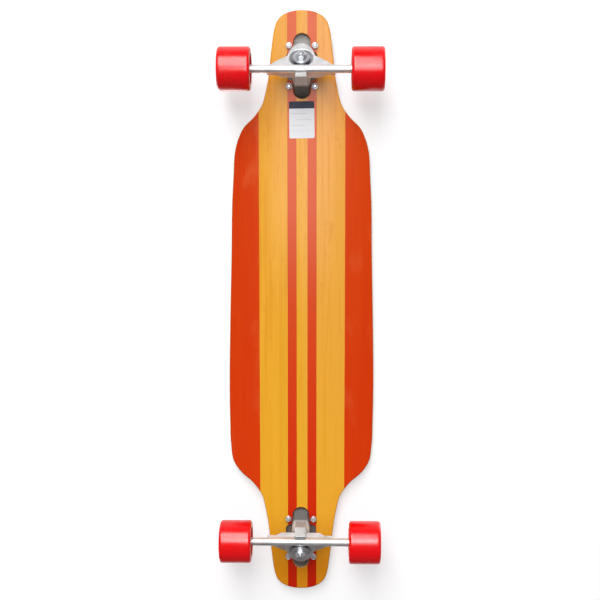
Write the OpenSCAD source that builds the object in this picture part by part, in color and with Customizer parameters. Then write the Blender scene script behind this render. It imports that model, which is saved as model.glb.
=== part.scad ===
// Drop-through longboard: a flat maple deck with cut-away wheel bays, hung on two
// reverse-kingpin trucks whose plates are bolted through the deck from above.
// Millimetres. +Z up, +Y to the nose, +X to the rider's right when facing the nose.
// The origin is on the ground, under the middle of the deck.

/* [Deck] */
// Length from nose to tail
deck_length = 940; // [880:5:1040]
// Width at the widest station
deck_width = 236; // [225:1:250]
// Thickness of the maple laminate
deck_thick = 11; // [9:0.5:13]
// Half width of the flat strip down the middle
flat_half = 33; // [32:1:40]
// Rise of the edges above the flat strip at the widest station
edge_rise = 9; // [0:0.5:14]
// Half width of the narrow neck between the wheels
neck_half = 52; // [48:1:56]
// Half width of the tip's corners
tip_half = 38; // [30:1:42]

/* [Grip tape and label] */
// Thickness of the grip tape
grip_thick = 1; // [0.6:0.1:1.5]
// Bare wood left between the tape and the deck's edge
grip_inset = 1.5; // [0.5:0.5:4]
// Gap between the tape and the truck plates
grip_gap = 1.5; // [0.5:0.5:4]
// Width of the paper label
label_width = 41; // [30:1:50]
// Length of the paper label
label_length = 59; // [40:1:65]
// Thickness of the paper label
label_thick = 0.2; // [0.1:0.05:0.4]
// Distance of the label's middle from the middle of the deck
label_y = 299; // [260:1:300]

/* [Truck placing] */
// Distance between the centres of the two bolt patterns
truck_spacing = 766; // [730:2:790]
// Distance from each pattern's centre in to its axle
axle_inset = 10; // [6:1:14]
// Height of the plate's seat above the axle
truck_height = 65; // [63:1:70]
// Angle of the kingpin from upright
kingpin_lean = 40; // [38:1:44]
// Distance along the steering axis from the axle to the kingpin
axle_reach = 20; // [19.5:0.5:22]
// Distance of the axle below the steering axis, along the kingpin
axle_rake = 8; // [7:0.5:9]

/* [Bolt pattern] */
// Spacing of the bolts across the deck
bolt_across = 41.3; // [41:0.1:43]
// Spacing of the bolts along the deck
bolt_along = 63.5; // [62:0.5:66]
// Diameter of the mounting bolts
bolt_d = 4.8; // [4:0.1:5]
// Diameter of the bolt holes
bolt_hole_d = 5.4; // [5.3:0.1:6]
// Diameter of a bolt's countersunk head
bolt_head_d = 9.4; // [8.5:0.1:10]
// Stretch of a bolt that shows past its nut
bolt_stick_out = 1.5; // [0.5:0.5:4]
// Width of a mounting nut across its flats
mount_nut_flats = 9.5; // [9:0.1:10]
// Height of a mounting nut
mount_nut_height = 5.5; // [4:0.5:6]

/* [Cut-outs and plates] */
// Width of the long slot under a plate
slot_width = 27; // [25:0.5:29]
// Length of the long slot under a plate
slot_length = 102; // [98:1:104]
// Width of the wide middle of the cut-out
window_width = 49; // [45:1:50]
// Length of the wide middle of the cut-out
window_length = 44; // [42:1:48]
// Width of a plate
plate_width = 57; // [55:1:60]
// Thickness of a plate
plate_thick = 6.5; // [6:0.5:8]
// Reach of a plate outboard of the pattern's centre
plate_outboard = 55; // [54:1:60]
// Reach of a plate inboard of the pattern's centre
plate_inboard = 62; // [61:1:66]
// Corner radius of a plate
plate_corner = 9; // [4:1:11]

/* [Kingpin and bushings] */
// Diameter of the kingpin
kingpin_d = 9.5; // [9:0.1:9.6]
// Clearance round the kingpin in the plate and the bushings
kingpin_gap = 0.15; // [0.05:0.05:0.2]
// Width of the kingpin's head and nut across their flats
kingpin_flats = 14.3; // [13:0.1:14.5]
// Height of the kingpin's nut
kingpin_nut_height = 8; // [6:0.5:9]
// Length of the kingpin that shows past its nut
kingpin_stick_out = 2.5; // [1:0.5:4]
// Diameter of a bushing
bushing_d = 24.6; // [23:0.1:25]
// Height of the bushing on the deck's side of the hanger
board_bushing = 16; // [16:0.5:18]
// Height of the bushing on the road's side of the hanger
road_bushing = 10.5; // [10:0.5:13]
// Thickness of a cup washer
washer_thick = 1.6; // [1.2:0.1:2]
// Depth of a cup washer's rim
washer_rim = 1.6; // [0.8:0.1:2]

/* [Hanger] */
// Width of the hanger over its two ends
hanger_width = 180; // [176:1:184]
// Diameter of the hanger's beam
beam_d = 13; // [12:0.5:14]
// Width of the arch round the bushings, where it leaves the beam
arch_width = 48; // [46:0.5:50]
// Reach of the arch outboard of the kingpin
arch_reach = 33; // [31:0.5:34]
// Depth of the arch on the deck's side of its middle
arch_deck_side = 6.5; // [6:0.5:7]
// Depth of the arch on the road's side of its middle
arch_road_side = 12; // [11:0.5:12.5]
// Thickness of the web between the two bushings
ring_web = 5; // [4:0.5:6]
// Diameter of the hole that lets the ring rock on the kingpin
ring_hole_d = 13.4; // [13:0.1:15]
// Diameter of the pivot's nose
pivot_d = 9.4; // [9:0.1:11]
// Clearance round the pivot's nose in its cup
pivot_gap = 0.3; // [0.2:0.05:0.4]
// Wall of the pivot cup
cup_wall = 1.7; // [1.5:0.1:2.5]

/* [Wheels] */
// Diameter of a wheel
wheel_d = 68; // [64:1:72]
// Width of a wheel
wheel_width = 51; // [48:1:54]
// Radius of the wheel's lips
lip_radius = 4.5; // [3:0.5:10]
// Diameter of the axle
axle_d = 8; // [7.8:0.1:8]
// Width of an axle nut across its flats
axle_nut_flats = 13; // [12:0.1:14]
// Height of an axle nut
axle_nut_height = 6; // [5:0.5:7]
// Length of the axle that shows past its nut
axle_stick_out = 2; // [1:0.5:4]
// Outer diameter of a bearing
bearing_d = 22; // [21.5:0.1:22.5]
// Width of a bearing
bearing_width = 7; // [6:0.5:8]
// Diameter of a bearing's balls
ball_d = 4; // [3.8:0.1:4.2]
// Length of the spacer between the two bearings
spacer_length = 10; // [8:0.5:12]
// Outer diameter of the spacer
spacer_d = 10.4; // [10:0.1:11]
// Thickness of a speed washer
speed_washer = 1; // [0.5:0.1:1.5]

/* [Hidden] */
$fn = 64;
cut = 1;                       // how far a cutting shape passes a face

// Heights
axle_z = wheel_d / 2;
plate_seat = axle_z + truck_height;
deck_bottom = plate_seat - deck_thick;

// The steering frame: its origin is the middle of the kingpin's ring, its Y runs
// outboard along the steering axis and its Z up along the kingpin.
ring_y = -axle_inset + axle_reach * cos(kingpin_lean) - axle_rake * sin(kingpin_lean);
ring_z = axle_z + axle_reach * sin(kingpin_lean) + axle_rake * cos(kingpin_lean);
seat_up = ring_web / 2 + board_bushing;
seat_down = ring_web / 2 + road_bushing;
kingpin_seat = seat_up + washer_thick;
nut_top = seat_down + washer_thick;
kingpin_end = nut_top + kingpin_nut_height + kingpin_stick_out;
kingpin_r = kingpin_d / 2;
kingpin_hole_r = kingpin_r + kingpin_gap;
kingpin_head = 6.5;
// The head bears inside the plate, below the level of the deck's top face
head_seat = (deck_bottom - ring_z) / cos(kingpin_lean);
head_pocket_r = kingpin_flats / sqrt(3) + 0.4;
bushing_r = bushing_d / 2;
washer_rim_r = bushing_r + 0.2;
washer_r = washer_rim_r + 0.7;
boss_r = washer_r + 1.5;
boss_flat = head_pocket_r + 1.4;  // the boss is cut flat on its inboard side

// The countersunk mounting bolts
bolt_length = plate_thick + deck_thick + mount_nut_height + bolt_stick_out;
sink_depth = (bolt_head_d - bolt_d) / 2;
sink_gap = 0.2;
cutout_gap = 1;

// The pivot and its tower
beam_r = beam_d / 2;
tower_face = axle_reach + beam_r + 1;
pivot_r = pivot_d / 2;
cup_bore_r = pivot_r + pivot_gap;
cup_r = cup_bore_r + cup_wall;
pivot_length = 6;
pivot_tip = tower_face + pivot_length;
nose_middle = pivot_tip - pivot_r;
cup_depth = pivot_tip + pivot_gap;
cup_end = cup_depth + cup_wall;
tower_end = cup_end + 1.2;
tower_half = cup_r + 2;

// Wheels and bearings, measured along the axle from the middle of a wheel
pack_half = spacer_length / 2 + bearing_width;
hanger_end = hanger_width / 2;
wheel_x = hanger_end + speed_washer + pack_half;
nut_x = wheel_x + pack_half + speed_washer;
axle_half = nut_x + axle_nut_height + axle_stick_out;
axle_r = axle_d / 2;
bearing_r = bearing_d / 2;
ball_r = ball_d / 2;
ball_gap = 0.05;
ball_count = 7;
pitch_r = (bearing_r + axle_r) / 2;
inner_ring_r = axle_r + 1.8;
outer_ring_r = bearing_r - 1.8;
shield_thick = 0.4;
core_r = bearing_r + 6;
core_half = pack_half + 3;

// Deck outline, nose to tail along one edge, as points [x, y]. The tips move with
// the deck's ends and the shoulders with the trucks.
nose = deck_length / 2;
pattern_y = truck_spacing / 2;
wide_half = deck_width / 2;
function tip_points(end, side) = [
    [tip_half * 0.32, end - side * 0.9],
    [tip_half * 0.66, end - side * 4.6],
    [tip_half * 0.86, end - side * 9],
    [tip_half + 1.3, end - side * 16.5],
    [tip_half + 5, end - side * 26],
    [tip_half + 7.2, end - side * 36],
    [neck_half - 5, end - side * 48]];
function reversed(points) = [for (i = [len(points) - 1 : -1 : 0]) points[i]];
edge_points = concat(
    [[0, nose]],
    tip_points(nose, 1),
    [[neck_half + 6, pattern_y - 41],
     [neck_half + 11.5, pattern_y - 60],
     [neck_half + 23.5, pattern_y - 78],
     [wide_half - 24, pattern_y - 97],
     [wide_half - 13.5, pattern_y - 121],
     [wide_half - 7.5, pattern_y - 180],
     [wide_half - 4, pattern_y * 0.2],
     [wide_half - 1, -pattern_y * 0.14],
     [wide_half, -pattern_y * 0.32],
     [wide_half - 0.6, -pattern_y + 195],
     [wide_half - 2, -pattern_y + 154],
     [wide_half - 6.5, -pattern_y + 126],
     [wide_half - 17, -pattern_y + 110],
     [neck_half + 26.5, -pattern_y + 90],
     [neck_half + 12, -pattern_y + 69],
     [neck_half + 7, -pattern_y + 50]],
    reversed(tip_points(-nose, -1)),
    [[0, -nose]]);
edge_steps = 4;                // pieces of edge between two of the points above

// A smooth curve through the points, square to the middle line at both tips
function tangent(p, i) =
    i == 0 ? [1, 0] : i == len(p) - 1 ? [-1, 0] :
    let (h0 = norm(p[i] - p[i - 1]), h1 = norm(p[i + 1] - p[i]),
         s0 = (p[i] - p[i - 1]) / h0, s1 = (p[i + 1] - p[i]) / h1)
    (s0 * h1 + s1 * h0) / (h0 + h1);
function on_curve(p, i, t) =
    let (h = norm(p[i + 1] - p[i]), a = tangent(p, i) * h, b = tangent(p, i + 1) * h)
    p[i] * (2 * t ^ 3 - 3 * t ^ 2 + 1) + a * (t ^ 3 - 2 * t ^ 2 + t)
    + p[i + 1] * (3 * t ^ 2 - 2 * t ^ 3) + b * (t ^ 3 - t ^ 2);
edge_curve = [
    for (i = [0 : len(edge_points) - 2], k = [0 : edge_steps - 1])
        on_curve(edge_points, i, k / edge_steps),
    [0, -nose]];
last = len(edge_curve) - 1;
function inward(i) =
    i == 0 ? [0, -1] : i == last ? [0, 1] :
    let (d = edge_curve[i + 1] - edge_curve[i - 1]) [d.y, -d.x] / norm(d);
function edge_inset(inset) = [for (i = [0 : last]) edge_curve[i] + inset * inward(i)];
function mirrored(points) = [for (i = [len(points) - 2 : -1 : 1]) [-points[i].x, points[i].y]];

// Rise of the deck's section over the flat strip
section_steps = 8;
section_half = wide_half + 2;
function rise(x) = edge_rise * ((abs(x) - flat_half) / (wide_half - flat_half)) ^ 2;
section_right = [
    for (k = [0 : section_steps])
        let (x = flat_half + k / section_steps * (section_half - flat_half)) [x, rise(x)]];
section_line = concat(
    [for (i = [section_steps : -1 : 0]) [-section_right[i].x, section_right[i].y]],
    section_right);
function lifted(points, z) = [for (p = points) [p.x, p.y + z]];

// ---- shared shapes ----

module outline(inset = 0) {
    edge = edge_inset(inset);
    polygon(concat(edge, mirrored(edge)));
}

// A layer that follows the deck's section between two heights
module layer(low, high) {
    rotate([90, 0, 0])
        linear_extrude(deck_length + 2 * cut, center = true)
            polygon(concat(lifted(section_line, low), reversed(lifted(section_line, high))));
}

module rounded(width, low, high, corner) {
    translate([-width / 2 + corner, low]) square([width - 2 * corner, high - low]);
    translate([-width / 2, low + corner]) square([width, high - low - 2 * corner]);
    for (x = [-1, 1], y = [low + corner, high - corner])
        translate([x * (width / 2 - corner), y]) circle(corner);
}

// The opening in the deck under a plate, or what passes it with a clearance all round
module cutout(gap = 0) {
    slot_half = slot_length / 2 - gap;
    window_half = window_length / 2 - gap;
    rounded(slot_width - 2 * gap, -slot_half, slot_half, slot_width / 2 - gap - 0.01);
    rounded(window_width - 2 * gap, -window_half, window_half, 8 - gap);
}

module bolt_places() {
    for (x = [-1, 1], y = [-1, 1])
        translate([x * bolt_across / 2, y * bolt_along / 2]) children();
}

module front() { translate([0, pattern_y, 0]) children(); }
module rear() { rotate([0, 0, 180]) front() children(); }
module both_ends() {
    front() children();
    rear() children();
}
module steering() { translate([0, ring_y, ring_z]) rotate([kingpin_lean, 0, 0]) children(); }
module on_axle(x) { translate([x, -axle_inset, axle_z]) rotate([0, 90, 0]) children(); }
module both_sides() {
    children();
    mirror([1, 0, 0]) children();
}
module tube(outer_r, inner_r, height) {
    difference() {
        cylinder(height, r = outer_r);
        translate([0, 0, -cut]) cylinder(height + 2 * cut, r = inner_r);
    }
}
module hexagon(flats, height) { cylinder(height, r = flats / sqrt(3), $fn = 6); }

// ---- deck ----

module deck() {
    color("peru") difference() {
        intersection() {
            layer(deck_bottom, plate_seat);
            translate([0, 0, deck_bottom - cut])
                linear_extrude(deck_thick + 2 * edge_rise + 2 * cut) outline();
        }
        both_ends() translate([0, 0, deck_bottom - cut]) {
            linear_extrude(deck_thick + 2 * cut) cutout();
            bolt_places() cylinder(deck_thick + 2 * cut, d = bolt_hole_d);
        }
    }
}

module grip_tape() {
    color("dimgray") difference() {
        intersection() {
            layer(plate_seat, plate_seat + grip_thick);
            translate([0, 0, plate_seat - cut])
                linear_extrude(grip_thick + 2 * edge_rise + 2 * cut) outline(grip_inset);
        }
        both_ends() translate([0, 0, plate_seat - cut])
            linear_extrude(grip_thick + 2 * cut)
                rounded(plate_width + 2 * grip_gap, -plate_inboard - grip_gap,
                    plate_outboard + grip_gap, plate_corner + grip_gap);
    }
}

module price_label() {
    color("white") translate([0, label_y, deck_bottom - label_thick])
        linear_extrude(label_thick)
            rounded(label_width, -label_length / 2, label_length / 2, 2);
}

// ---- truck: what is fixed to the deck ----

// Side view of the tower that holds the pivot cup, as [y, z] in the pattern's frame
function from_steering(y, z) = [
    ring_y + y * cos(kingpin_lean) - z * sin(kingpin_lean),
    ring_z + y * sin(kingpin_lean) + z * cos(kingpin_lean)];
tower_side = [
    from_steering(-tower_face, -tower_half),
    from_steering(-tower_end, -tower_half),
    from_steering(-tower_end, tower_half),
    [-slot_length / 2 + 20, deck_bottom - 13],
    [-boss_r, deck_bottom - 16],
    from_steering(-boss_r + 2, kingpin_seat + 1),
    from_steering(-tower_face, tower_half + 1.5)];
tower_width = 2 * tower_half;
boss_top = (plate_seat + cut - ring_z) / cos(kingpin_lean);

module baseplate() {
    color("silver") difference() {
        union() {
            translate([0, 0, plate_seat]) linear_extrude(plate_thick)
                rounded(plate_width, -plate_inboard, plate_outboard, plate_corner);
            // the tower and the kingpin's boss, free below the deck and trimmed inside it
            intersection() {
                union() {
                    rotate([90, 0, 90]) linear_extrude(tower_width, center = true)
                        polygon(tower_side);
                    steering() translate([0, 0, kingpin_seat]) intersection() {
                        cylinder(boss_top, r = boss_r);
                        translate([-boss_r, -boss_flat, 0])
                            cube([2 * boss_r, boss_flat + boss_r, boss_top]);
                    }
                }
                union() {
                    linear_extrude(deck_bottom - cutout_gap)
                        square(2 * plate_inboard, center = true);
                    linear_extrude(plate_seat + cut) cutout(cutout_gap);
                }
            }
        }
        steering() {
            cylinder(2 * boss_top, r = kingpin_hole_r);
            translate([0, 0, head_seat]) cylinder(2 * boss_top, r = head_pocket_r);
            rotate([90, 0, 0]) translate([0, 0, tower_face - cut])
                cylinder(cup_end - tower_face + cut, r = cup_r);
        }
        translate([0, 0, plate_seat]) bolt_places() {
            translate([0, 0, -cut]) cylinder(plate_thick + 2 * cut, d = bolt_hole_d);
            translate([0, 0, plate_thick - sink_depth])
                cylinder(bolt_head_d, d1 = bolt_d + sink_gap, d2 = bolt_d + sink_gap + 2 * bolt_head_d);
        }
    }
}

module pivot_cup() {
    color("black") steering() rotate([90, 0, 0]) difference() {
        translate([0, 0, tower_face]) cylinder(cup_end - tower_face, r = cup_r);
        translate([0, 0, tower_face - cut]) cylinder(cup_depth - tower_face + cut, r = cup_bore_r);
    }
}

module kingpin() {
    color("gainsboro") steering() {
        translate([0, 0, -kingpin_end]) cylinder(kingpin_end + head_seat, r = kingpin_r);
        translate([0, 0, head_seat]) hexagon(kingpin_flats, kingpin_head);
    }
}

module bushing(height) {
    bevel = 2;
    rotate_extrude() polygon([
        [kingpin_hole_r, 0], [bushing_r - bevel / 2, 0], [bushing_r, bevel],
        [bushing_r, height - bevel], [bushing_r - bevel / 2, height], [kingpin_hole_r, height]]);
}

module cup_washer() {
    top = washer_thick + washer_rim;
    rotate_extrude() polygon([
        [kingpin_hole_r, 0], [washer_r, 0], [washer_r, top],
        [washer_rim_r, top], [washer_rim_r, washer_thick], [kingpin_hole_r, washer_thick]]);
}

module boardside_bushing() {
    color("firebrick") steering() translate([0, 0, ring_web / 2]) bushing(board_bushing);
}

module roadside_bushing() {
    color("firebrick") steering() translate([0, 0, -seat_down]) bushing(road_bushing);
}

module boardside_washer() {
    color("silver") steering() translate([0, 0, kingpin_seat]) mirror([0, 0, 1]) cup_washer();
}

module roadside_washer() {
    color("silver") steering() translate([0, 0, -nut_top]) cup_washer();
}

module kingpin_nut() {
    color("lightgray") steering() translate([0, 0, -nut_top - kingpin_nut_height])
        difference() {
            union() {
                cylinder(2, r = kingpin_flats / 2 - 0.6);
                translate([0, 0, 2]) hexagon(kingpin_flats, kingpin_nut_height - 2);
            }
            translate([0, 0, -cut]) cylinder(kingpin_nut_height + 2 * cut, r = kingpin_r);
        }
}

module mounting_bolts() {
    color("silver") translate([0, 0, plate_seat + plate_thick]) bolt_places() {
        translate([0, 0, -bolt_length]) cylinder(bolt_length, d = bolt_d);
        translate([0, 0, -sink_depth]) cylinder(sink_depth, d1 = bolt_d, d2 = bolt_head_d);
    }
}

module mounting_nuts() {
    color("gainsboro") translate([0, 0, deck_bottom]) bolt_places() difference() {
        union() {
            translate([0, 0, -mount_nut_height]) cylinder(1.5, d = mount_nut_flats - 1);
            translate([0, 0, -mount_nut_height + 1.5])
                hexagon(mount_nut_flats, mount_nut_height - 1.5);
        }
        translate([0, 0, -mount_nut_height - cut])
            cylinder(mount_nut_height + 2 * cut, d = bolt_d);
    }
}

// ---- truck: what steers ----

// Half of the arch round the bushings, seen along the kingpin
arch_half = arch_width * 0.46;
arch_bend = 1.6;
arch_points = [
    [arch_width / 2, -axle_reach],
    for (a = [0 : 6 : 84]) [arch_half * sqrt(1 - sin(a) ^ arch_bend), arch_reach * sin(a)]];
// The cheeks run from the arch out to the beam
cheek_thick = 9;
cheek_side = [
    [53, -axle_reach - beam_r / 2], [53, -axle_reach + beam_r], [41, -2], [arch_half, 11]];
// The rib above the beam, seen along the steering axis
rib_top = [31, 7.4];
rib_foot = [53, -axle_rake];
rib_thick = 7;
seat_r = bushing_r + 0.4;
// The seat flares toward the road, so that the washer clears it when the truck turns
flare = [
    [0, ring_web / 2], [seat_r, ring_web / 2], [seat_r, ring_web / 2 + 1],
    [washer_r + 3.8, arch_road_side - 4], [washer_r + 6, arch_road_side + cut],
    [0, arch_road_side + cut]];
function both(points) = concat(points, [for (i = [len(points) - 1 : -1 : 0])
    [-points[i].x, points[i].y]]);

module hanger() {
    color("silver") difference() {
        union() {
            steering() {
                difference() {
                    union() {
                        translate([0, 0, -arch_road_side])
                            linear_extrude(arch_road_side + arch_deck_side)
                                polygon(both(arch_points));
                        translate([0, 0, -arch_deck_side]) linear_extrude(cheek_thick)
                            polygon(both(cheek_side));
                    }
                    mirror([0, 0, 1]) rotate_extrude() polygon(flare);
                }
                translate([0, -axle_reach + rib_thick / 2, 0]) rotate([90, 0, 0])
                    linear_extrude(rib_thick) polygon(both([rib_foot, rib_top]));
                rotate([90, 0, 0]) {
                    translate([0, 0, axle_reach - beam_r])
                        cylinder(nose_middle - axle_reach + beam_r, r = pivot_r);
                    translate([0, 0, nose_middle]) sphere(pivot_r);
                }
            }
            on_axle(-hanger_end) cylinder(hanger_width, r = beam_r);
        }
        steering() {
            translate([0, 0, -arch_road_side])
                cylinder(2 * arch_road_side, d = ring_hole_d);
            for (side = [0, 1]) mirror([0, 0, side])
                translate([0, 0, ring_web / 2]) cylinder(arch_deck_side, r = seat_r);
        }
        on_axle(-hanger_end - cut) cylinder(hanger_width + 2 * cut, r = axle_r);
    }
}

module axle() {
    color("lightgray") on_axle(-axle_half) cylinder(2 * axle_half, r = axle_r);
}

module axle_nuts() {
    color("gainsboro") both_sides() on_axle(nut_x) difference() {
        union() {
            hexagon(axle_nut_flats, axle_nut_height - 1.5);
            cylinder(axle_nut_height, d = axle_nut_flats - 1.5);
        }
        translate([0, 0, -cut]) cylinder(axle_nut_height + 2 * cut, r = axle_r);
    }
}

module speed_washers() {
    color("gainsboro") both_sides() for (x = [hanger_end, nut_x - speed_washer])
        on_axle(x) tube(inner_ring_r, axle_r, speed_washer);
}

// ---- wheels ----

rim_half = wheel_width / 2;
tyre_side = [
    [core_r, 0], [core_r, core_half], [core_r + 2.5, core_half + 3], [core_r + 7, rim_half - 1.5],
    [core_r + 8.5, rim_half]];
lip_arc = [
    for (a = [90 : -15 : 0])
        [wheel_d / 2 - lip_radius + lip_radius * cos(a), rim_half - lip_radius + lip_radius * sin(a)]];
tyre_half = concat(tyre_side, lip_arc, [[wheel_d / 2, 0]]);
shoulder_r = bearing_r - 2.5;
core_profile = [
    [shoulder_r, 0], [shoulder_r, spacer_length / 2], [bearing_r, spacer_length / 2],
    [bearing_r, pack_half + 0.3], [bearing_r + 1.5, core_half - 1], [core_r - 1, core_half],
    [core_r, core_half - 1], [core_r, 0]];

module turned(profile) {
    for (side = [0, 1]) mirror([0, 0, side]) rotate_extrude() polygon(profile);
}

// A wheel on one side: side 1 is right and -1 is left
module wheel_at(side) { on_axle(side * wheel_x) children(); }

module tyre(side) { color("red") wheel_at(side) turned(tyre_half); }
module wheel_core(side) { color("whitesmoke") wheel_at(side) turned(core_profile); }

module both_bearings() {
    for (end = [0, 1]) mirror([0, 0, end]) translate([0, 0, spacer_length / 2]) children();
}

module groove() {
    translate([0, 0, bearing_width / 2]) rotate_extrude()
        translate([pitch_r, 0]) circle(ball_r + ball_gap);
}

module outer_rings(side) {
    color("silver") wheel_at(side) both_bearings() difference() {
        tube(bearing_r, outer_ring_r, bearing_width);
        groove();
    }
}

module balls(side) {
    color("gainsboro") wheel_at(side) both_bearings()
        for (k = [0 : ball_count - 1])
            rotate([0, 0, k * 360 / ball_count])
                translate([pitch_r, 0, bearing_width / 2]) sphere(ball_r);
}

module shields(side) {
    color("darkgray") wheel_at(side) both_bearings()
        for (z = [0.2, bearing_width - 0.2 - shield_thick])
            translate([0, 0, z]) tube(outer_ring_r, inner_ring_r + 0.2, shield_thick);
}

module inner_rings(side) {
    color("silver") wheel_at(side) both_bearings() difference() {
        tube(inner_ring_r, axle_r, bearing_width);
        groove();
    }
}

module spacer(side) {
    color("gold") wheel_at(side) translate([0, 0, -spacer_length / 2])
        tube(spacer_d / 2, axle_r, spacer_length);
}

// ---- nodes ----

deck();
grip_tape();
price_label();
front() baseplate();  // front_baseplate
front() pivot_cup();  // front_pivot_cup
front() kingpin();  // front_kingpin
front() boardside_bushing();  // front_boardside_bushing
front() roadside_bushing();  // front_roadside_bushing
front() boardside_washer();  // front_boardside_washer
front() roadside_washer();  // front_roadside_washer
front() kingpin_nut();  // front_kingpin_nut
front() hanger();  // front_hanger
front() axle();  // front_axle
front() mounting_bolts();  // front_mounting_bolts
front() mounting_nuts();  // front_mounting_nuts
front() axle_nuts();  // front_axle_nuts
front() speed_washers();  // front_speed_washers
rear() baseplate();  // rear_baseplate
rear() pivot_cup();  // rear_pivot_cup
rear() kingpin();  // rear_kingpin
rear() boardside_bushing();  // rear_boardside_bushing
rear() roadside_bushing();  // rear_roadside_bushing
rear() boardside_washer();  // rear_boardside_washer
rear() roadside_washer();  // rear_roadside_washer
rear() kingpin_nut();  // rear_kingpin_nut
rear() hanger();  // rear_hanger
rear() axle();  // rear_axle
rear() mounting_bolts();  // rear_mounting_bolts
rear() mounting_nuts();  // rear_mounting_nuts
rear() axle_nuts();  // rear_axle_nuts
rear() speed_washers();  // rear_speed_washers
front() tyre(-1);  // front_left_tyre
front() wheel_core(-1);  // front_left_wheel_core
front() outer_rings(-1);  // front_left_bearing_outer_rings
front() balls(-1);  // front_left_bearing_balls
front() shields(-1);  // front_left_bearing_shields
front() inner_rings(-1);  // front_left_bearing_inner_rings
front() spacer(-1);  // front_left_spacer
front() tyre(1);  // front_right_tyre
front() wheel_core(1);  // front_right_wheel_core
front() outer_rings(1);  // front_right_bearing_outer_rings
front() balls(1);  // front_right_bearing_balls
front() shields(1);  // front_right_bearing_shields
front() inner_rings(1);  // front_right_bearing_inner_rings
front() spacer(1);  // front_right_spacer
rear() tyre(1);  // rear_left_tyre
rear() wheel_core(1);  // rear_left_wheel_core
rear() outer_rings(1);  // rear_left_bearing_outer_rings
rear() balls(1);  // rear_left_bearing_balls
rear() shields(1);  // rear_left_bearing_shields
rear() inner_rings(1);  // rear_left_bearing_inner_rings
rear() spacer(1);  // rear_left_spacer
rear() tyre(-1);  // rear_right_tyre
rear() wheel_core(-1);  // rear_right_wheel_core
rear() outer_rings(-1);  // rear_right_bearing_outer_rings
rear() balls(-1);  // rear_right_bearing_balls
rear() shields(-1);  // rear_right_bearing_shields
rear() inner_rings(-1);  // rear_right_bearing_inner_rings
rear() spacer(-1);  // rear_right_spacer
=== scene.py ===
import math

import bmesh
import bpy
from mathutils import Matrix, Vector


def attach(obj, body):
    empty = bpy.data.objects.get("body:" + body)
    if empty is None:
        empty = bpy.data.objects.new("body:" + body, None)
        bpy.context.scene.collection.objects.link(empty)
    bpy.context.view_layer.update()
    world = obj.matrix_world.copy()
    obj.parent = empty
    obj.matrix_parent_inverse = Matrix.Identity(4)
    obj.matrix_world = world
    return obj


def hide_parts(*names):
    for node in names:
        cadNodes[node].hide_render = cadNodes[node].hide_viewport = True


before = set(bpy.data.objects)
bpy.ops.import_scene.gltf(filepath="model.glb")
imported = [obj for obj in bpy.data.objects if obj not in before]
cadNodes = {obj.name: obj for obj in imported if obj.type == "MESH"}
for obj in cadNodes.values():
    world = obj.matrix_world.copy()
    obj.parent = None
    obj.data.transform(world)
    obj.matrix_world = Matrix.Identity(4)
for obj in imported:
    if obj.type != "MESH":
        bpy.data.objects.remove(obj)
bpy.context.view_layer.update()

mm = 0.001
print("frame loaded:", len(cadNodes), "nodes")


# Small tools for node trees, meshes and pieces

def tone(red, green, blue):  # a colour as written on a screen, 0 to 255, for a shader
    def one(value):
        value /= 255
        return value / 12.92 if value <= 0.04045 else ((value + 0.055) / 1.055) ** 2.4
    return (one(red), one(green), one(blue), 1)


def add(tree, kind, inputs=None, **settings):
    node = tree.nodes.new(kind)
    for key, value in settings.items():
        setattr(node, key, value)
    for key, value in (inputs or {}).items():
        if isinstance(value, bpy.types.NodeSocket):
            tree.links.new(value, node.inputs[key])
        else:
            node.inputs[key].default_value = value
    return node


def calc(tree, operation, *values):
    return add(tree, "ShaderNodeMath", dict(enumerate(values)), operation=operation).outputs[0]


def between(tree, value, low, high):  # 1 inside the two limits, 0 outside
    return calc(tree, "MULTIPLY", calc(tree, "GREATER_THAN", value, low),
                calc(tree, "LESS_THAN", value, high))


def spread(tree, value, low, high, toLow=0.0, toHigh=1.0):
    return add(tree, "ShaderNodeMapRange", {0: value, 1: low, 2: high, 3: toLow, 4: toHigh}).outputs[0]


def blendColour(tree, factor, first, second, how="MIX"):
    return add(tree, "ShaderNodeMix", {0: factor, 6: first, 7: second}, data_type="RGBA",
               blend_type=how).outputs[2]


def laidOver(tree, colour, shade, pattern, low, high, amount=1.0):  # a shade where the pattern runs high
    return blendColour(tree, spread(tree, pattern, low, high, 0, amount), colour, shade)


def objectPlace(tree, scale=(1, 1, 1)):
    source = add(tree, "ShaderNodeTexCoord").outputs["Object"]
    return add(tree, "ShaderNodeMapping", {"Vector": source, "Scale": scale}).outputs[0]


def coordinates(tree, place):
    return add(tree, "ShaderNodeSeparateXYZ", {0: place}).outputs


def cloud(tree, scale, detail=3.0, rough=0.5, twist=0.0):
    return add(tree, "ShaderNodeTexNoise", {"Vector": objectPlace(tree, scale), "Scale": 1.0,
                                            "Detail": detail, "Roughness": rough,
                                            "Distortion": twist}).outputs["Fac"]


def newMaterial(name, **sockets):  # a socket's name with its spaces as underscores, here and in wire
    material = bpy.data.materials.new(name)
    material.use_nodes = True
    tree = material.node_tree
    tree.nodes.clear()
    shader = add(tree, "ShaderNodeBsdfPrincipled",
                 {key.replace("_", " "): value for key, value in sockets.items()})
    add(tree, "ShaderNodeOutputMaterial", {0: shader.outputs[0]})
    return material, tree, shader


def wire(tree, shader, **sockets):
    for key, value in sockets.items():
        tree.links.new(value, shader.inputs[key.replace("_", " ")])


def bump(tree, shader, height, depth, strength):
    node = add(tree, "ShaderNodeBump", {"Height": height, "Distance": depth, "Strength": strength})
    tree.links.new(node.outputs[0], shader.inputs["Normal"])


def meshFrom(name, shape, *materials):
    mesh = bpy.data.meshes.new(name)
    shape.to_mesh(mesh)
    shape.free()
    for material in materials:
        mesh.materials.append(material)
    return mesh


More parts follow.
